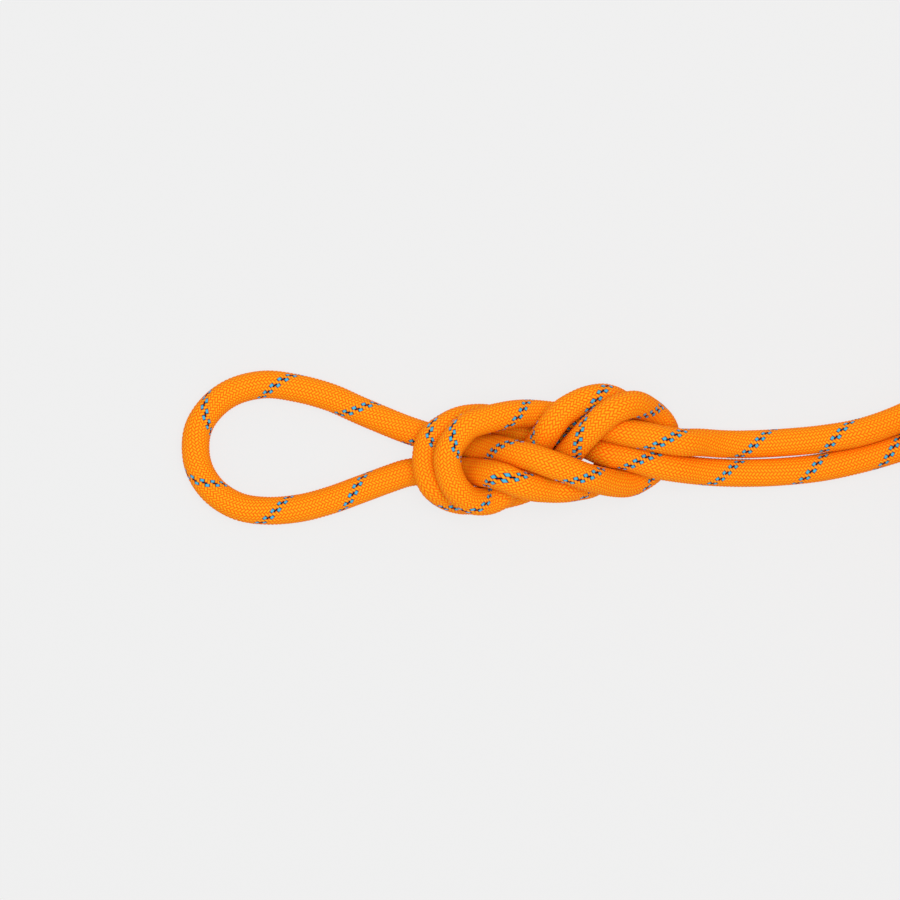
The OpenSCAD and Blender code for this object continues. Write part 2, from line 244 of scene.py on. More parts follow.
class Hank:
    """The winding of the hank: where the rope's centre is after t turns"""

    # Shares of a turn that a run and a fold take
    RUN_SHARE = 0.3
    FOLD_SHARE = 0.2
    # Where on the first fold the knotted end joins it
    JOIN_TURN = math.radians(60)
    TIE_THICK = 1.5 * MILLIMETRE
    # How far the waist's straight part reaches past the tie, and its room over the strap under it
    TIE_SIDE_ROOM = MILLIMETRE
    TIE_TOP_ROOM = 0.2 * MILLIMETRE
    POINTS_TO_A_TURN = 96

    def __init__(self, rope, hank):
        self.rope_r = rope.diameter / 2
        self.run, self.band, self.waist_in = hank.run, hank.band, hank.waist_in
        self.column_step, self.layer_step = hank.column_step, hank.layer_step
        self.columns = hank.columns
        self.climbs = hank.layers - 1
        self.flat_z = FLAT_Z * MILLIMETRE
        self.outer_r = hank.fold + (self.columns - 1) * self.column_step
        # The fold starts one diameter past the end of the route
        self.join = np.array(ROUTE[-2]) * MILLIMETRE
        turned = self.JOIN_TURN + math.pi / 2
        way = np.array([math.cos(self.JOIN_TURN), math.sin(self.JOIN_TURN), 0])
        self.fold_meet = self.join + rope.diameter * way
        self.left_fold = self.fold_meet - self.outer_r * np.array([math.cos(turned), math.sin(turned), 0])
        tie_low, tie_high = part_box("hank_tie")
        tie_gap = tie_low.z
        self.waist_half = (tie_high.x - tie_low.x) / 2 + self.TIE_SIDE_ROOM
        lifted = tie_gap + self.TIE_THICK + tie_gap + self.rope_r + self.TIE_TOP_ROOM
        self.waist_lift = lifted - self.flat_z
        # The tie is round the middle of the runs, which gives the part's origin
        middle = self.left_fold + np.array([self.run / 2, 0, 0])
        self.origin = middle - (np.array(tie_low) + np.array(tie_high)) / 2
        self.origin[2] = 0

    def pinch(self, u):
        """How far the waist is drawn in, 0 to 1, at share u of a run."""
        reach = self.run / 2 - self.waist_half
        return (1 - np.cos(math.pi * np.minimum(1, np.minimum(u, 1 - u) * self.run / reach))) / 2

    def layer_and_inset(self, t):
        """Layers up and columns in, after t turns: up the outer column, down the next, up the inner."""
        layer, inset = np.zeros_like(t), np.zeros_like(t)
        start, up = 0.0, True
        for column in range(self.columns):
            first = start + (0.5 if up else 0.0)
            for k in range(self.climbs):
                layer += (1 if up else -1) * ease((t - first - k) / self.RUN_SHARE)
            if column < self.columns - 1:
                step_at = start + self.climbs + (self.RUN_SHARE if up else -self.FOLD_SHARE)
                inset += ease((t - step_at) / self.FOLD_SHARE)
            start += self.climbs + (1 if up else 0)
            up = not up
        return layer, inset

    def place(self, t):
        """The rope's centre after t turns, in the frame that the route's points are in."""
        t = np.atleast_1d(np.asarray(t, float))
        phase = t - np.floor(t)
        layer, inset = self.layer_and_inset(t)
        r = self.outer_r - self.column_step * inset
        half = self.RUN_SHARE + self.FOLD_SHARE
        back = phase >= half
        p = np.where(back, phase - half, phase)
        on_run = p < self.RUN_SHARE
        u = np.clip(p / self.RUN_SHARE, 0, 1)
        bend = math.pi / 2 - math.pi * (p - self.RUN_SHARE) / self.FOLD_SHARE
        pinch = self.pinch(u)
        x = np.where(on_run, self.run * u, self.run + r * np.cos(bend))
        y = np.where(on_run, r - self.waist_in * pinch, r * np.sin(bend))
        x, y = np.where(back, self.run - x, x), np.where(back, -y, y)
        lift = np.where(on_run, self.waist_lift * pinch, 0)
        z = self.flat_z + self.layer_step * layer + lift
        return np.stack([self.left_fold[0] + x, self.left_fold[1] + y, z], axis=-1)

    def line(self):
        """The hank's centreline, from the join to the rope's inner end."""
        # The last run stops where its band is half way between the tie and the fold
        band_mid = 1 - (self.run / 2 - self.waist_half) / 2 / self.run
        start = -self.FOLD_SHARE * self.JOIN_TURN / math.pi
        # The turn that the last run starts
        last = self.columns * self.climbs + (self.columns - 1) // 2
        end = last + self.RUN_SHARE * (band_mid - self.band / 2 / self.run)
        before, after = self.place(last + self.RUN_SHARE * (band_mid + np.array([-0.05, 0.05])))
        way = unit(after - before)
        margin = 0.01
        first_stop = math.ceil((start + margin) * self.POINTS_TO_A_TURN)
        last_stop = math.floor((end - margin) * self.POINTS_TO_A_TURN)
        wound = self.place(np.arange(first_stop, last_stop) / self.POINTS_TO_A_TURN)
        base = self.place(end)[0]
        points = np.concatenate([[self.join, self.fold_meet], wound, [base, base + self.band * way]])
        return Line(points - self.origin)


def free_line(hank):
    """The knotted end's centreline, from the tail's cut end to the hank."""
    steps = 12
    route = np.array(ROUTE, float) * MILLIMETRE - hank.origin
    shares = np.arange(steps) / steps
    points = [through(*route[i - 1:i + 3], shares) for i in range(1, len(route) - 2)]
    return Line(np.concatenate(points + [route[-2:-1]]))


def roll_at(s):
    """Turns that the braid is rolled at s metres from the tail's cut end, evened out a little."""
    at, rolled = np.array(ROLL, float).T
    reach = 5 * MILLIMETRE
    spread = [np.interp(s + k * reach, at * MILLIMETRE, rolled) for k in (-1, -0.5, 0, 0.5, 1)]
    return sum(spread) / len(spread)


# ---- meshes

def ring_points(centre, way, radius, angle):
    """Points round a line, kept above the ground. Each has its own or its ring's centre and way."""
    across = unit(np.cross(way, (0, 0, 1)))
    up = np.cross(across, way)
    outward = np.cos(angle)[..., None] * across + np.sin(angle)[..., None] * up
    points = centre + radius[..., None] * outward
    points[..., 2] = np.maximum(points[..., 2], 0)
    return points


def even_angles(rings, sides):
    return np.broadcast_to(FULL_TURN * np.arange(sides) / sides, (rings, sides))


def strip_faces(first, second, sides):
    """Quads between two rings, given by their first points."""
    j = np.arange(sides)
    n = (j + 1) % sides
    return np.stack([first + j, second + j, second + n, first + n], axis=-1).tolist()


def wall_faces(rings, sides, first=0):
    """Quads between rings that follow one another."""
    starts = range(first, first + (rings - 1) * sides, sides)
    return [face for start in starts for face in strip_faces(start, start + sides, sides)]


def closed_faces(rings, sides, first=0):
    """Quads between rings, and a face over each end."""
    last = first + (rings - 1) * sides
    ends = [list(range(first, first + sides)), list(range(last, last + sides))[::-1]]
    return wall_faces(rings, sides, first) + ends


def wall_turns(along, sides):
    """The braid coordinates of the corners of wall_faces, from each ring's turns along the rope."""
    k, j = np.indices((len(along) - 1, sides))
    corners = [(k, j), (k + 1, j), (k + 1, j + 1), (k, j + 1)]
    pairs = [np.stack([along[a], b / sides], axis=-1) for a, b in corners]
    return np.stack(pairs, axis=-2).reshape(-1, 2)


def plain_turns(corners):
    """Braid coordinates for faces that no one sees: one spot on an orange yarn."""
    return np.full((corners, 2), 0.05)


def put_object(name, data, spot=(0, 0, 0)):
    """An object in the scene."""
    made = bpy.data.objects.new(name, data)
    made.location = spot
    bpy.context.scene.collection.objects.link(made)
    return made


def make_piece(name, points, faces, material, turns=None):
    """A mesh object of the part, with its braid coordinates where it has them."""
    mesh = bpy.data.meshes.new(name)
    mesh.from_pydata(np.asarray(points).reshape(-1, 3).tolist(), [], faces)
    if turns is not None:
        layer = mesh.uv_layers.new(name="Braid")
        layer.data.foreach_set("uv", np.asarray(turns, np.float32).ravel())
    mesh.polygons.foreach_set("use_smooth", [True] * len(mesh.polygons))
    mesh.materials.append(material)
    mesh.update()
    if mesh.validate():
        raise RuntimeError(f"{name} has faces that Blender had to mend")
    piece = put_object(name, mesh)
    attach(piece, "root")
    return piece


# ---- materials

def set_inputs(node, **values):
    """Plain values for a node's sockets, with _ for each space in their names."""
    for title, value in values.items():
        node.inputs[title.replace("_", " ")].default_value = value


class Nodes:
    """Short calls that add nodes to a tree"""

    def __init__(self, tree):
        self.tree = tree

    def add(self, kind, **values):
        node = self.tree.nodes.new(kind)
        for key, value in values.items():
            setattr(node, key, value)
        return node

    def link(self, source, socket):
        if isinstance(source, (int, float)):
            socket.default_value = source
        else:
            self.tree.links.new(source, socket)

    def group(self, name, build):
        """A node with a group, which is built once."""
        tree = bpy.data.node_groups.get(name) or build(name)
        return self.add("ShaderNodeGroup", node_tree=tree)

    def math(self, operation, *inputs):
        node = self.add("ShaderNodeMath", operation=operation)
        for source, socket in zip(inputs, node.inputs):
            self.link(source, socket)
        return node.outputs[0]

    def plus(self, first, second):
        return self.math("ADD", first, second)

    def minus(self, first, second):
        return self.math("SUBTRACT", first, second)

    def times(self, first, second):
        return self.math("MULTIPLY", first, second)

    def mix(self, factor, first, second):
        """A mix of two colours, each a socket or three numbers."""
        node = self.add("ShaderNodeMix", data_type="RGBA")
        self.link(factor, node.inputs["Factor"])
        for source, socket in ((first, node.inputs[6]), (second, node.inputs[7])):
            if isinstance(source, bpy.types.NodeSocket):
                self.link(source, socket)
            else:
                socket.default_value = (*source, 1)
        return node.outputs[2]

    def ramp(self, value, low, high):
        """0 at low and 1 at high, smoothly."""
        node = self.add("ShaderNodeMapRange", interpolation_type="SMOOTHSTEP")
        self.link(value, node.inputs["Value"])
        set_inputs(node, From_Min=low, From_Max=high)
        return node.outputs["Result"]

    def seen(self):
        """1 for the rays that show the backdrop: the camera's, and those from gloss or through glass."""
        ray = self.add("ShaderNodeLightPath")
        mirrored = self.math("MAXIMUM", ray.outputs["Is Glossy Ray"], ray.outputs["Is Transmission Ray"])
        return self.math("MAXIMUM", ray.outputs["Is Camera Ray"], mirrored)

    def blend(self, factor, first, second, target):
        """Links a mix of two shaders to a target."""
        node = self.add("ShaderNodeMixShader")
        for source, socket in zip((factor, first, second), node.inputs):
            self.link(source, socket)
        self.link(node.outputs[0], target)


def new_group(name, inputs, outputs):
    """An empty node group, and the nodes for its sockets. An input of None is a vector."""
    tree = bpy.data.node_groups.new(name, "ShaderNodeTree")
    for title, value in inputs.items():
        kind = "NodeSocketVector" if value is None else "NodeSocketFloat"
        socket = tree.interface.new_socket(title, in_out="INPUT", socket_type=kind)
        if value is not None:
            socket.default_value = value
    for title in outputs:
        tree.interface.new_socket(title, in_out="OUTPUT", socket_type="NodeSocketFloat")
    return tree, tree.nodes.new("NodeGroupInput"), tree.nodes.new("NodeGroupOutput")


def braid_group(name):
    """Masks and height of a two-over-two braid, from turns along and round the rope."""
    tree, given, out = new_group(
        name, {"Turns": None, "Carriers": 24.0, "Filaments": 5.0},
        ("Crest", "Tracer", "Dark", "Tone", "Height"))
    n = Nodes(tree)
    carriers = given.outputs["Carriers"]
    split = n.add("ShaderNodeSeparateXYZ")
    n.link(given.outputs["Turns"], split.inputs[0])
    along, around = split.outputs[0], split.outputs[1]
    # Right-hand yarns count along a, left-hand yarns along b
    a = n.times(n.plus(around, along), carriers)
    b = n.times(n.minus(around, along), carriers)
    # The tracer yarns are fuller, and press the one between them thin
    half = n.times(carriers, 0.5)
    off = n.math("WRAP", n.minus(b, 0.5), half, n.times(half, -1.0))
    beside = n.math("ABSOLUTE", off)
    even = n.math("MAXIMUM", n.minus(beside, FULLER[-1][1]), 0.0)
    for (even_from, full_from), (even_to, full_to) in zip(FULLER, FULLER[1:]):
        part = n.add("ShaderNodeMapRange")
        n.link(beside, part.inputs["Value"])
        set_inputs(part, From_Min=full_from, From_Max=full_to, To_Max=even_to - even_from)
        even = n.plus(even, part.outputs["Result"])
    b = n.plus(n.minus(b, off), n.times(even, n.math("SIGN", off)))
    yarn_a, yarn_b = n.math("FLOOR", a), n.math("FLOOR", b)
    in_a, in_b = n.minus(a, yarn_a), n.minus(b, yarn_b)
    # Of each four cells in a row, the left-hand yarns are on top in the last two
    cell = n.math("FLOORED_MODULO", n.plus(yarn_a, yarn_b), 4.0)
    left = n.math("GREATER_THAN", cell, 1.5)
    right = n.minus(1.0, left)
    second = n.math("FLOORED_MODULO", n.math("ROUND", cell), 2.0)
    across = n.plus(n.times(in_a, right), n.times(in_b, left))
    run = n.plus(n.times(in_b, right), n.times(in_a, left))
    down = n.times(n.plus(run, second), 0.5)
    # A yarn is round across, and dips at both ends of its float
    rounded = n.math("SINE", n.times(across, math.pi))
    end = n.math("ABSOLUTE", n.minus(n.times(down, 2.0), 1.0))
    dip = n.minus(1.0, n.times(n.math("POWER", end, 3.0), 0.75))
    crest = n.times(n.math("POWER", rounded, 0.6), dip)
    n.link(crest, out.inputs["Crest"])
    # The tracer: two left-hand yarns and the dark one between them
    near = n.math("LESS_THAN", even, 1.5)
    middle = n.math("LESS_THAN", even, 0.5)
    tracer = n.times(near, left)
    n.link(tracer, out.inputs["Tracer"])
    # Painted shade: each blue float goes dark at its ends, where it dips under, and along its sides
    tip = n.math("MAXIMUM", n.ramp(end, 0.45, 0.9), n.ramp(crest, 0.62, 0.3))
    n.link(n.times(tracer, n.math("MAXIMUM", middle, tip)), out.inputs["Dark"])
    noise = n.add("ShaderNodeTexWhiteNoise", noise_dimensions="3D")
    spot = n.add("ShaderNodeCombineXYZ")
    for source, socket in zip((n.plus(yarn_a, 0.5), n.plus(yarn_b, 0.5), left), spot.inputs):
        n.link(source, socket)
    n.link(spot.outputs[0], noise.inputs["Vector"])
    n.link(noise.outputs["Value"], out.inputs["Tone"])
    # Fine filaments lie along each yarn, with a slight twist
    twist = n.plus(across, n.times(down, 0.5))
    threads = n.math("SINE", n.times(n.times(twist, given.outputs["Filaments"]), FULL_TURN))
    n.link(n.plus(crest, n.times(threads, 0.09)), out.inputs["Height"])
    return tree


def plain_material(name, roughness, colour):
    """A material with its shader, and short calls that add nodes to it."""
    material = bpy.data.materials.new(name)
    material.use_nodes = True
    shader = material.node_tree.nodes["Principled BSDF"]
    set_inputs(shader, Roughness=roughness, Base_Color=(*colour, 1))
    return material, Nodes(material.node_tree), shader


def bump(n, shader, height, strength, depth):
    """Gives a shader a bump of a depth in metres."""
    node = n.add("ShaderNodeBump")
    set_inputs(node, Strength=strength, Distance=depth)
    n.link(height, node.inputs["Height"])
    n.link(node.outputs[0], shader.inputs["Normal"])


def sheath_material(name, rope, colours, depth):
    """Braided nylon with its tracer. depth is how much of the relief the bump has to give."""
    material, n, shader = plain_material(name, 0.62, colours.crest)
    uv = n.add("ShaderNodeUVMap", uv_map="Braid")
    braid = n.group("Braid", braid_group)
    set_inputs(braid, Carriers=rope.carriers)
    n.link(uv.outputs[0], braid.inputs["Turns"])
    # Painted highlight on the yarn tops, and painted shade in the grooves and at the ends of each float, by
    # the braid's height
    orange = n.mix(n.ramp(braid.outputs["Crest"], 0.28, 0.92), colours.groove_shade, colours.crest)
    # Each float takes the dye a little differently
    deep = np.array(colours.crest) * 0.55 + np.array(colours.groove_shade) * 0.45
    orange = n.mix(n.times(braid.outputs["Tone"], 0.35), orange, deep)
    blue = n.mix(braid.outputs["Dark"], colours.tracer, colours.tracer_dark_and_shade)
    n.link(n.mix(braid.outputs["Tracer"], orange, blue), shader.inputs["Base Color"])
    bump(n, shader, braid.outputs["Height"], 0.6, depth)
    set_inputs(shader, Sheen_Weight=1.0, Sheen_Roughness=0.3, Sheen_Tint=(1, 0.05, 0.0, 1))
    set_inputs(shader, Specular_IOR_Level=0.05)
    return material


def speckle_group(name):
    """Soft noise in a piece's own space."""
    tree, given, out = new_group(name, {"Scale": 900.0, "Detail": 3.0}, ("Level",))
    n = Nodes(tree)
    place = n.add("ShaderNodeTexCoord")
    noise = n.add("ShaderNodeTexNoise")
    n.link(place.outputs["Object"], noise.inputs["Vector"])
    for title in ("Scale", "Detail"):
        n.link(given.outputs[title], noise.inputs[title])
    n.link(noise.outputs["Fac"], out.inputs["Level"])
    return tree


def speckle(n, scale, detail):
    node = n.group("Speckle", speckle_group)
    set_inputs(node, Scale=scale, Detail=detail)
    return node.outputs["Level"]


def fibre_material(name, roughness, colour, scale, detail, shade, depth):
    """Fine twisted fibres, a little uneven. shade is how bright the darkest of them are."""
    material, n, shader = plain_material(name, roughness, colour)
    fine = speckle(n, scale, detail)
    n.link(n.mix(fine, shade * np.array(colour), colour), shader.inputs["Base Color"])
    bump(n, shader, fine, 0.4, depth)
    return material, shader


def core_material(colours):
    """Twisted white nylon."""
    material, shader = fibre_material("core_nylon", 0.55, colours.core, 900.0, 3.0, 0.82, 0.0002)
    set_inputs(shader, Sheen_Weight=0.3)
    return material


def band_material(colours):
    """Shrunk film: satin, with small wrinkles and scuffs."""
    material, n, shader = plain_material("band_film", 0.35, colours.band)
    scuff = speckle(n, 260.0, 5.0)
    worn = np.array(colours.band) + 0.05
    n.link(n.mix(n.ramp(scuff, 0.45, 0.7), colours.band, worn), shader.inputs["Base Color"])
    n.link(n.plus(n.times(scuff, 0.3), 0.22), shader.inputs["Roughness"])
    bump(n, shader, scuff, 0.3, 0.0003)
    return material


def seal_material(colours):
    """Melted nylon: glossy, darker where it burnt."""
    material, n, shader = plain_material("melted_nylon", 0.25, colours.seal)
    blotch = speckle(n, 420.0, 4.0)
    burnt = 0.25 * np.array(colours.seal)
    n.link(n.mix(n.ramp(blotch, 0.4, 0.7), colours.seal, burnt), shader.inputs["Base Color"])
    bump(n, shader, blotch, 0.5, 0.0004)
    set_inputs(shader, Coat_Weight=0.3)
    return material


def strap_material(colours):
    """Hook and loop strap: a felted loop pile, lighter where it has worn."""
    material, n, shader = plain_material("strap_pile", 0.9, colours.tie)
    pile = speckle(n, 1500.0, 2.0)
    wear = speckle(n, 90.0, 3.0)
    light = np.array(colours.tie) * 2.2 + 0.012
    mask = n.times(n.ramp(pile, 0.35, 0.75), n.ramp(wear, 0.2, 0.8))
    n.link(n.mix(mask, colours.tie, light), shader.inputs["Base Color"])
    bump(n, shader, pile, 0.7, 0.0005)
    set_inputs(shader, Sheen_Weight=0.5)
    return material


def thread_material(colours):
    """Sewing thread, with its twist."""
    return fibre_material("sewing_thread", 0.6, colours.thread, 3000.0, 1.0, 0.7, 0.0001)[0]


# ---- operators

def grey(level):
    return (level, level, level, 1)


class MakeStage(bpy.types.Operator):
    """Makes the camera, the floor, the backdrop and the lamp"""

    bl_idname = "climbing_rope.stage"
    bl_label = "Stage"

    LAMP_SIZE = 1.0
    LAMP_HEIGHT = 1.6
    LAMP_ASIDE = 0.1
    FLOOR_HALF = 6.0
    FLOOR_BELOW = 0.0002
    # Height over the floor at which the view has its width
    VIEW_LEVEL = 0.012

    def execute(self, context):
        scene, settings = context.scene, context.scene.rope_stage
        centre = -Hank(scene.rope_sizes, scene.hank_sizes).origin
        self.camera(scene, settings, centre)
        self.floor(settings)
        self.backdrop(scene, settings)
        self.lamp(settings, centre)
        scene.view_settings.view_transform = "Standard"
        return {"FINISHED"}

    def camera(self, scene, settings, centre):
        """Straight down on the middle of the knotted end."""
        data = bpy.data.cameras.new("camera")
        data.lens = data.sensor_width * (settings.camera_height - self.VIEW_LEVEL) / settings.view_width
        data.clip_start, data.clip_end = 0.01, 100
        scene.camera = put_object("camera", data, (centre[0], centre[1], settings.camera_height))

    def floor(self, settings):
        """A pale floor that keeps a share of the object's shadow."""
        mesh = bpy.data.meshes.new("floor")
        half = self.FLOOR_HALF
        corners = [(-half, -half, 0), (half, -half, 0), (half, half, 0), (-half, half, 0)]
        mesh.from_pydata(corners, [], [(0, 1, 2, 3)])
        floor = put_object("floor", mesh, (0, 0, -self.FLOOR_BELOW))
        material = bpy.data.materials.new("floor")
        material.use_nodes = True
        mesh.materials.append(material)
        tree = material.node_tree
        tree.nodes.remove(tree.nodes["Principled BSDF"])
        # What the lit floor doesn't give of the backdrop's level, it glows
        reach = (self.LAMP_SIZE / 2) ** 2 + self.LAMP_HEIGHT ** 2
        lamp_level = settings.overhead / (math.pi ** 2 * reach)
        lit = settings.floor_shade * settings.backdrop * (settings.sky + lamp_level)
        glow_level = (settings.backdrop - lit) / (1 - settings.floor_shade)
        n = Nodes(tree)
        matte = n.add("ShaderNodeBsdfDiffuse")
        set_inputs(matte, Color=grey(settings.backdrop))
        glow = n.add("ShaderNodeEmission")
        set_inputs(glow, Color=grey(glow_level))
        share = n.times(n.seen(), 1 - settings.floor_shade)
        n.blend(share, matte.outputs[0], glow.outputs[0], tree.nodes["Material Output"].inputs["Surface"])

    def backdrop(self, scene, settings):
        """Even light from all round, which shows as the backdrop's grey."""
        world = bpy.data.worlds.new("backdrop")
        world.use_nodes = True
        scene.world = world
        tree = world.node_tree
        n = Nodes(tree)
        base = tree.nodes["Background"]
        set_inputs(base, Color=grey(1), Strength=settings.sky)
        shown = n.add("ShaderNodeBackground")
        set_inputs(shown, Color=grey(settings.backdrop))
        n.blend(n.seen(), base.outputs[0], shown.outputs[0], tree.nodes["World Output"].inputs["Surface"])

    def lamp(self, settings, centre):
        """A soft disk over the knotted end, a little aside."""
        lamp = bpy.data.lights.new("overhead", "AREA")
        lamp.shape, lamp.size = "DISK", self.LAMP_SIZE
        lamp.energy = settings.overhead
        x, y = centre[:2] + self.LAMP_ASIDE
        put_object("overhead", lamp, (x, y, self.LAMP_HEIGHT)).visible_camera = False


class MakeFreeRope(bpy.types.Operator):
    """Makes the knotted end of the rope, with every yarn of its braid in relief"""

    bl_idname = "climbing_rope.free_rope"
    bl_label = "Knotted End"

    INNER_EVERY = 8
    BUMP_DEPTH = 0.00012

    def execute(self, context):
        scene, rope = context.scene, context.scene.rope_sizes
        line = free_line(Hank(rope, scene.hank_sizes))
        steps = 4 * rope.carriers
        sides = steps // 2
        # Four rings to a yarn's step along the rope, and an even number so that both ends match
        count = 2 * int(line.length / rope.pitch * steps / 2)
        ring = np.arange(count + 1)[:, None]
        column = ring % 2 + 2 * np.arange(sides)
        height = self.relief((column + ring) / 4, (column - ring) / 4)
        radius = rope.diameter / 2 - rope.relief * (1 - height)
        moved_ring, moved_column = self.fuller(ring, column, rope.carriers)
        at = np.clip(moved_ring * line.length / count, 0, line.length)
        angle = FULL_TURN * (moved_column / steps + roll_at(at) - 0.5 / rope.carriers)
        outer = ring_points(line.place(at), line.way(at), radius, angle)
        # The bore is plain and has fewer rings
        kept = np.unique(np.append(np.arange(0, count, self.INNER_EVERY), count))
        s = kept * line.length / count
        bore = np.full((len(kept), sides), rope.diameter / 2 - rope.sheath)
        inner = ring_points(line.place(s)[:, None], line.way(s)[:, None], bore, angle[kept])
        faces, turns = self.diamonds(count, sides, rope.carriers)
        last, first_inner = count * sides, (count + 1) * sides
        last_inner = first_inner + (len(kept) - 1) * sides
        plain = [face[::-1] for face in wall_faces(len(kept), sides, first_inner)]
        plain += strip_faces(first_inner, 0, sides) + strip_faces(last, last_inner, sides)
        piece = make_piece(
            "free_rope", np.concatenate([outer.reshape(-1, 3), inner.reshape(-1, 3)]), faces + plain,
            sheath_material("sheath_braid", rope, scene.rope_colours, self.BUMP_DEPTH),
            np.concatenate([turns, plain_turns(4 * len(plain))]))
        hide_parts("sheath_tube")
        return {"FINISHED"}

    @staticmethod
    def fuller(ring, column, carriers):
        """Rings and columns of points once the tracer's yarns are made fuller."""
        off = np.mod((column - ring) / 4 - 0.5 + carriers / 2, carriers) - carriers / 2
        even, full = np.array(FULLER).T
        beside = np.abs(off)
        shift = np.sign(off) * np.where(beside < even[-1], np.interp(beside, even, full) - beside, 0)
        return ring - 2 * shift, column + 2 * shift

    @staticmethod
    def relief(a, b):
        """Height of the braid, 0 to 1, at yarn coordinates: the mean of the cells that meet there."""
        total = 0
        tiny = 1e-3
        for side_a, side_b in ((-tiny, -tiny), (-tiny, tiny), (tiny, -tiny), (tiny, tiny)):
            at_a, at_b = a + side_a, b + side_b
            yarn_a, yarn_b = np.floor(at_a), np.floor(at_b)
            cell = np.mod(yarn_a + yarn_b, 4)
            left = cell > 1.5
            across = np.where(left, at_b - yarn_b, at_a - yarn_a)
            run = np.where(left, at_a - yarn_a, at_b - yarn_b)
            down = (run + np.mod(cell, 2)) / 2
            dip = 1 - 0.8 * np.abs(2 * down - 1) ** 3
            total = total + np.sin(math.pi * np.clip(across, 0, 1)) ** 0.8 * dip
        return total / 4

    @classmethod
    def diamonds(cls, count, sides, carriers):
        """Faces between rings whose points lie on the crossing yarns, and their braid coordinates."""
        faces, turns = [], []
        steps = 4 * carriers
        j = np.arange(sides)
        for k in range(count + 1):
            centre = (k + 1) % 2 + 2 * j
            near = [(k, centre - 1), (k + 1, centre), (k, centre + 1), (k - 1, centre)]
            kept = [(r, c) for r, c in near if 0 <= r <= count]
            index = [r * sides + (c % steps) // 2 for r, c in kept]
            faces.extend(np.stack(index, axis=-1).tolist())
            pairs = [np.stack(cls.fuller(r, c, carriers), axis=-1) / steps for r, c in kept]
            turns.append(np.stack(pairs, axis=1).reshape(-1, 2))
        return faces, np.concatenate(turns)


class MakeHankRope(bpy.types.Operator):
    """Makes the rope of the hank, every turn of it"""

    bl_idname = "climbing_rope.hank_rope"
    bl_label = "Hank"

    SIDES = 16
    SPACING = 0.0045
    BUMP_DEPTH = 0.0003

    def execute(self, context):
        scene, rope = context.scene, context.scene.rope_sizes
        hank = Hank(rope, scene.hank_sizes)
        line = hank.line()
        sides, rings = self.SIDES, int(line.length / self.SPACING) + 1
        s = np.linspace(0, line.length, rings)
        angle = even_angles(rings, sides)
        radius = np.full((rings, sides), hank.rope_r)
        points = ring_points(line.place(s)[:, None], line.way(s)[:, None], radius, angle)
        turns = wall_turns(s / rope.pitch, sides)
        piece = make_piece(
            "hank_rope", points, closed_faces(rings, sides),
            sheath_material("hank_braid", rope, scene.rope_colours, self.BUMP_DEPTH),
            np.concatenate([turns, plain_turns(2 * sides)]))
        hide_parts("hank_turns", "hank_core")
        return {"FINISHED"}


class MakeCoreStrands(bpy.types.Operator):
    """Makes the seven core strands of the knotted end, each of three twisted plies"""

    bl_idname = "climbing_rope.core_strands"
    bl_label = "Core Strands"

    STRANDS = 7
    PLIES = 3
    SIDES = 12
    SPACING = 0.0015
    # Sides of the CAD tube that the strands lie in
    TUBE_SIDES = 8

    def execute(self, context):
        scene, rope = context.scene, context.scene.rope_sizes
        line = free_line(Hank(rope, scene.hank_sizes))
        material = core_material(scene.rope_colours)
        bore = rope.diameter / 2 - rope.sheath
        strand_r = (bore * math.cos(math.pi / self.TUBE_SIDES) - rope.core_gap) / 3
        sides, rings = self.SIDES, int(line.length / self.SPACING) + 1
        s = np.linspace(0, line.length, rings)
        centre, way = line.place(s), line.way(s)
        angle = even_angles(rings, sides)
        lobes = np.abs(np.cos(self.PLIES * (angle - FULL_TURN * s[:, None] / rope.ply_length) / 2))
        radius = strand_r * (0.8 + 0.2 * np.sqrt(lobes))
        faces = closed_faces(rings, sides)
        # One strand in the middle and the others round it
        for number in range(1, self.STRANDS + 1):
            turned = np.array(FULL_TURN * (number - 2) / (self.STRANDS - 1))
            off = np.array(0 if number == 1 else 2 * strand_r)
            middle = ring_points(centre, way, off, turned)
            points = ring_points(middle[:, None], way[:, None], radius, angle)
            strand = make_piece(f"twisted_strand_{number}", points, faces, material)
            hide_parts(f"core_strand_{number}")
        return {"FINISHED"}


def make_on_ends(scene, kind, profile, sides, wobble, faces, material):
    """A turned piece on each cut end. Its profile holds distances past the tip, and radii."""
    hank = Hank(scene.rope_sizes, scene.hank_sizes)
    free, wound = free_line(hank), hank.line()
    reach = 0.004
    tail_way = -free.way(np.array([0.0]), reach)[0]
    hank_way = wound.way(np.array([wound.length]), reach)[0]
    along, radius = (np.array(column)[:, None] for column in zip(*profile))
    angle = even_angles(len(profile), sides)
    radius = radius + wobble(along, radius, angle)
    for end, tip, way in (("tail", free.points[0], tail_way), ("hank", wound.points[-1], hank_way)):
        points = ring_points((tip + along * way)[:, None], way, radius, angle)
        piece = make_piece(f"{end}_{kind}", points, faces, material)
        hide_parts(f"{end}_end_{kind}")


class MakeEndBands(bpy.types.Operator):
    """Makes the film band round each end, shrunk tight over the braid"""

    bl_idname = "climbing_rope.end_bands"
    bl_label = "End Bands"

    ROOM = 0.00005
    FILM = 0.00025
    EDGE = 0.00008
    WRINKLE = 0.00002
    SIDES = 96

    def execute(self, context):
        scene = context.scene
        bore = scene.rope_sizes.diameter / 2 + self.ROOM
        outer = bore + self.FILM
        length = scene.hank_sizes.band
        shown = [(x, outer) for x in np.linspace(-length + self.EDGE, -self.EDGE, 72)]
        profile = [(-length, bore), (-length, outer - self.EDGE), *shown]
        profile += [(0.0, outer - self.EDGE), (0.0, bore)]

        def wrinkles(along, radius, angle):
            """Small crossing wrinkles in the film."""
            waves = np.cos(24 * angle + along * 900) + np.cos(24 * angle - along * 900)
            return np.where(radius >= outer, -self.WRINKLE * (1 + waves / 2), 0)

        rings, sides = len(profile), self.SIDES
        faces = wall_faces(rings, sides) + strip_faces((rings - 1) * sides, 0, sides)
        material = band_material(scene.rope_colours)
        make_on_ends(scene, "band", profile, sides, wrinkles, faces, material)
        return {"FINISHED"}


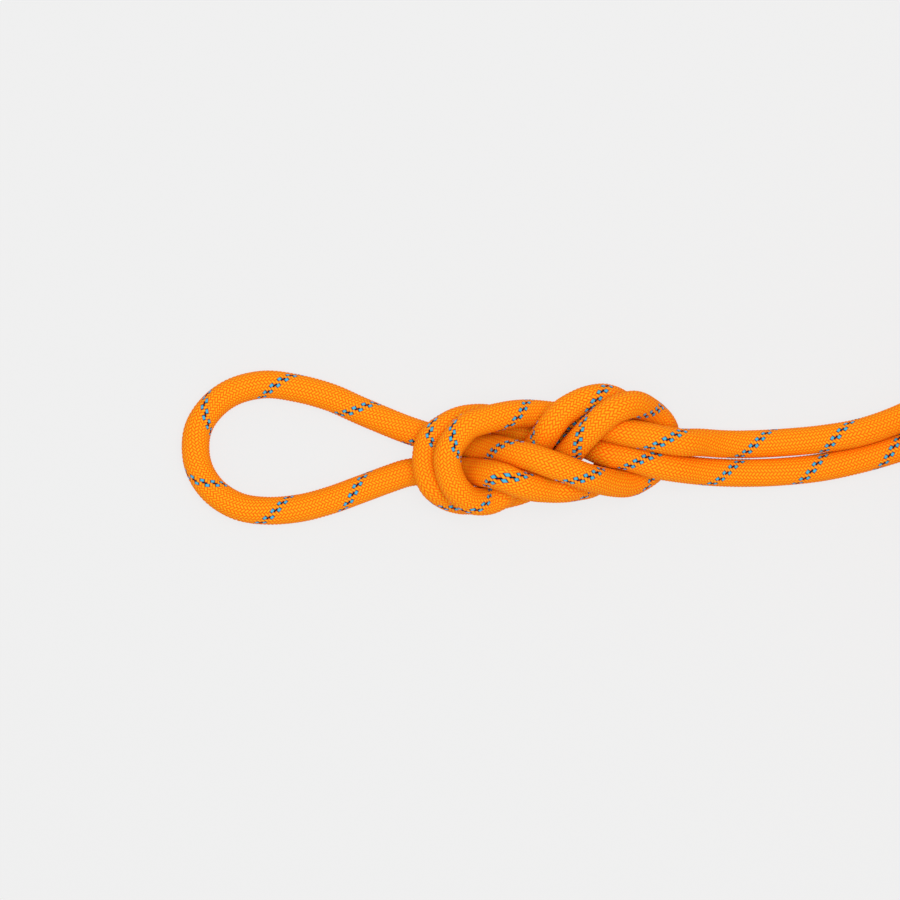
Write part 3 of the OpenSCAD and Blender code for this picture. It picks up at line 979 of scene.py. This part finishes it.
class MakeEndSeals(bpy.types.Operator):
    """Makes the melted seal on each end"""

    bl_idname = "climbing_rope.end_seals"
    bl_label = "End Seals"

    THICK = 0.0024
    SIDES = 64

    def execute(self, context):
        scene = context.scene
        r = scene.rope_sizes.diameter / 2
        dome = [(self.THICK * math.sin(a), r * (1 - 0.12 * (1 - math.cos(a))) * math.cos(a) ** 0.5)
                for a in np.radians(np.linspace(0, 84, 14))]
        profile = [(0.0, r * 0.98), *dome]

        def lumps(along, radius, angle):
            """Dents that only take away from the dome."""
            waves = np.sin(3 * angle + along * 1500) + np.sin(5 * angle - along * 900)
            return np.minimum(0.00005 * (waves + np.sin(11 * angle)) - 0.00016, 0)

        faces = closed_faces(len(profile), self.SIDES)
        material = seal_material(scene.rope_colours)
        make_on_ends(scene, "seal", profile, self.SIDES, lumps, faces, material)
        return {"FINISHED"}


class MakeTie(bpy.types.Operator):
    """Makes the strap round the hank's waist, with its stitches"""

    bl_idname = "climbing_rope.tie"
    bl_label = "Tie"

    THICK = Hank.TIE_THICK
    LAP = 0.042
    LAP_RISE = 0.004
    # Thicknesses that the lap lies over the strap's start
    LAP_OVER = 1.02
    CORNER = 0.005
    # Length of the tip's rounding, and how far the long edges are rounded
    TIP = 0.006
    SOFT = 0.0004
    # The sewn box: its two ends, from the strap's corner, and how far it is in from the edges
    BOX_ENDS = (0.010, 0.022)
    BOX_INSET = 0.003
    STITCH = 0.0016
    STITCH_STEP = 0.0023
    THREAD_R = 0.00022
    THREAD_OVER = 0.00004

    def execute(self, context):
        colours = context.scene.rope_colours
        low, high = (np.array(c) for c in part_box("hank_tie"))
        line, outward = self.path(low, high)
        strap = self.strap(line, outward, low, high, colours)
        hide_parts("hank_tie")
        self.stitches(low, high, colours)
        return {"FINISHED"}

    def path(self, low, high):
        """The strap's middle line in y and z, from its end under the lap round to its tip on top."""
        r, thick = self.CORNER, self.THICK
        half_y, base, top = (high[1] - low[1]) / 2, low[2], high[2] - thick
        z_low, z_high = base + thick / 2, top - thick / 2
        reach = half_y - thick / 2 - r
        points = [(y, z_high) for y in np.linspace(reach - self.LAP_RISE, -reach, 24)[:-1]]
        for side_y, side_z, start in ((-1, 1, 90), (-1, -1, 180), (1, -1, 270), (1, 1, 0)):
            centre_y, centre_z = side_y * reach, (z_high - r if side_z > 0 else z_low + r)
            for a in np.radians(np.linspace(start, start + 90, 9)):
                points.append((centre_y + r * math.cos(a), centre_z + r * math.sin(a)))
        # Then over its own start
        for y in np.linspace(reach, reach - self.LAP, 43):
            points.append((y, z_high + thick * self.LAP_OVER * ease((reach - y) / self.LAP_RISE)))
        points = np.array(points)
        ways = unit(np.gradient(points, axis=0))
        return points, np.stack([ways[:, 1], -ways[:, 0]], axis=-1)

    def strap(self, line, outward, low, high, colours):
        """A flat strip with soft edges and a rounded tip."""
        s = np.concatenate([[0], np.cumsum(np.linalg.norm(np.diff(line, axis=0), axis=1))])
        left = np.clip((s[-1] - s) / self.TIP, 0, 1)
        width = (high[0] - low[0]) / 2 - self.TIP * (1 - np.sqrt(1 - (1 - left) ** 2))
        section = []
        for w in width:
            for side in (1, -1):
                for share in np.linspace(-1, 1, 9):
                    edge = self.SOFT if abs(share) == 1 else 0
                    height = self.THICK / 2 - self.SOFT * abs(share) ** 8
                    section.append((side * share * (w - edge), side * height))
        section = np.array(section).reshape(len(line), -1, 2)
        points = np.concatenate([
            (low[0] + high[0]) / 2 + section[..., :1],
            line[:, None] + section[..., 1:] * outward[:, None]], axis=-1)
        rings, sides = points.shape[:2]
        faces = closed_faces(rings, sides)
        return make_piece("hank_strap", points, faces, strap_material(colours))

    def stitches(self, low, high, colours):
        """Short thread stitches in a box where the strap is sewn to its hook patch."""
        x, z = (low[0] + high[0]) / 2, high[2] + self.THREAD_OVER
        near, far = ((high[1] - low[1]) / 2 - self.CORNER - end for end in self.BOX_ENDS)
        inset = (high[0] - low[0]) / 2 - self.BOX_INSET
        left, right = x - inset, x + inset
        corners = [(left, near), (right, near), (right, far), (left, far), (left, near)]
        rings, sides = 7, 6
        points, faces = [], []
        for start, stop in zip(corners, corners[1:]):
            run = math.dist(start, stop)
            way = np.array([(stop[0] - start[0]) / run, (stop[1] - start[1]) / run, 0])
            side = np.array([way[1], -way[0], 0])
            count = int(run / self.STITCH_STEP)
            for k in range(count):
                middle = np.array([*start, z]) + way * (k + 0.5) * run / count
                faces += closed_faces(rings, sides, len(points))
                for u in np.linspace(-1, 1, rings):
                    r = self.THREAD_R * math.sqrt(max(1 - u ** 4, 0.05))
                    sag = -self.THREAD_R * 0.9 * u ** 2
                    for a in FULL_TURN * np.arange(sides) / sides:
                        at = middle + way * u * self.STITCH / 2 + side * r * math.cos(a)
                        points.append(at + np.array([0, 0, sag + r * math.sin(a) * 0.7]))
        return make_piece("strap_stitches", points, faces, thread_material(colours))


class DeclareCords(bpy.types.Operator):
    """Prints how long the rope is, knotted and in the hank"""

    bl_idname = "climbing_rope.cords"
    bl_label = "Rope Lengths"

    def execute(self, context):
        scene, rope = context.scene, context.scene.rope_sizes
        hank = Hank(rope, scene.hank_sizes)
        free, wound = free_line(hank), hank.line()
        print(f"rope: {free.length:.3f} m knotted, {wound.length:.3f} m in the hank")
        return {"FINISHED"}


OPERATORS = (
    MakeStage, MakeFreeRope, MakeHankRope, MakeCoreStrands, MakeEndBands, MakeEndSeals, MakeTie,
    DeclareCords)
SETTINGS = (
    ("rope_sizes", RopeSizes), ("hank_sizes", HankSizes), ("rope_colours", RopeColours),
    ("rope_stage", StageSettings))


class RopePanel(bpy.types.Panel):
    """Lists the rope's settings and its operators"""

    bl_idname = "VIEW3D_PT_climbing_rope"
    bl_label = "Climbing Rope"
    bl_space_type = "VIEW_3D"
    bl_region_type = "UI"
    bl_category = "Rope"

    def draw(self, context):
        for name, group in SETTINGS:
            box = self.layout.box()
            box.label(text=group.__doc__)
            for field in group.__annotations__:
                box.prop(getattr(context.scene, name), field)
        for operator in OPERATORS:
            self.layout.operator(operator.bl_idname)


def register():
    for cls in (*(group for _, group in SETTINGS), *OPERATORS, RopePanel):
        bpy.utils.register_class(cls)
    for name, group in SETTINGS:
        setattr(bpy.types.Scene, name, bpy.props.PointerProperty(type=group))


def unregister():
    for name, _ in SETTINGS:
        delattr(bpy.types.Scene, name)
    for cls in (RopePanel, *reversed(OPERATORS), *(group for _, group in reversed(SETTINGS))):
        bpy.utils.unregister_class(cls)


def main():
    register()
    bpy.ops.climbing_rope.stage()
    bpy.ops.climbing_rope.free_rope()
    bpy.ops.climbing_rope.hank_rope()
    bpy.ops.climbing_rope.core_strands()
    bpy.ops.climbing_rope.end_bands()
    bpy.ops.climbing_rope.end_seals()
    bpy.ops.climbing_rope.tie()
    bpy.ops.climbing_rope.cords()


if __name__ == "__main__":
    main()
